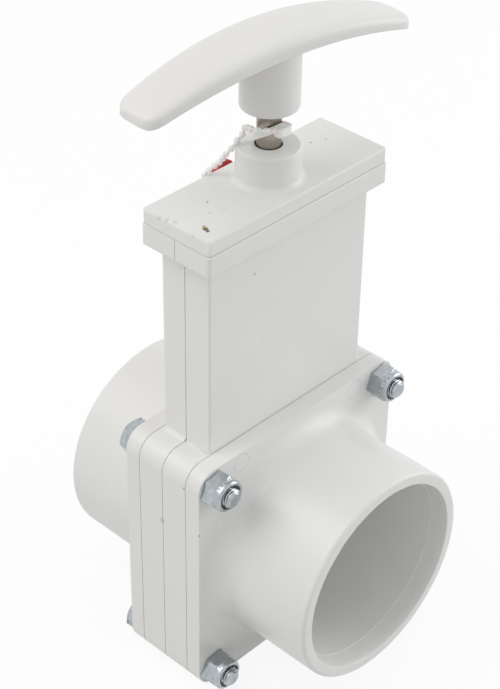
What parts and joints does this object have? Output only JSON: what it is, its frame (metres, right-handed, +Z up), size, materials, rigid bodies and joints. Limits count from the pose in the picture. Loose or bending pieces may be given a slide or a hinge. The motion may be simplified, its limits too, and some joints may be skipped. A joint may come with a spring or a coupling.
{
  "type": "slide gate valve",
  "caption": "Hand-pulled slide gate valve for plastic pipe: square bolted body, two slip sockets, flat neck with cap, steel shaft and arched T handle.",
  "frame": {"origin": "the middle of the body's flat underside, below the middle of the waterway and on the gate's mid plane", "axes": "+Z up along the shaft, +Y along the flow towards the rear socket, X across the body"},
  "size_m": [0.0936, 0.0996, 0.2048],
  "materials": {
    "pvc_hub": "moulded white PVC, satin gloss",
    "pvc_body": "moulded white PVC, satin gloss",
    "pvc_cap": "moulded white PVC, satin gloss",
    "pvc_gate": "moulded white PVC, smooth",
    "handle_plastic": "moulded white plastic, satin",
    "seal_rubber": "moulded rubber, lubricated",
    "stainless": "drawn stainless rod",
    "zinc_plate": "bright zinc plate on steel",
    "nylon_insert": "dark nylon ring",
    "tie_nylon": "natural nylon, translucent",
    "clip_red": "moulded red plastic"
  },
  "bodies": {
    "valve_body": {"front_hub": "pvc_hub", "rear_hub": "pvc_hub", "front_body_half": "pvc_body", "rear_body_half": "pvc_body", "bonnet_cap": "pvc_cap", "shaft_wiper": "seal_rubber", "front_seal": "seal_rubber", "rear_seal": "seal_rubber", "bolt_lower_left": "zinc_plate", "bolt_lower_right": "zinc_plate", "bolt_upper_left": "zinc_plate", "bolt_upper_right": "zinc_plate", "nut_lower_left": "zinc_plate", "nut_lower_right": "zinc_plate", "nut_upper_left": "zinc_plate", "nut_upper_right": "zinc_plate", "nylon_ring_lower_left": "nylon_insert", "nylon_ring_lower_right": "nylon_insert", "nylon_ring_upper_left": "nylon_insert", "nylon_ring_upper_right": "nylon_insert", "tie_strap": "tie_nylon", "tie_head": "tie_nylon", "lock_clip": "clip_red"},
    "gate_assembly": {"gate": "pvc_gate", "shaft": "stainless", "handle": "handle_plastic"}
  },
  "joints": [
    {"name": "gate_slide", "type": "slide", "parent": "valve_body", "child": "gate_assembly", "axis": [0, 0, 1], "range_m": [0, 0.055]}
  ]
}
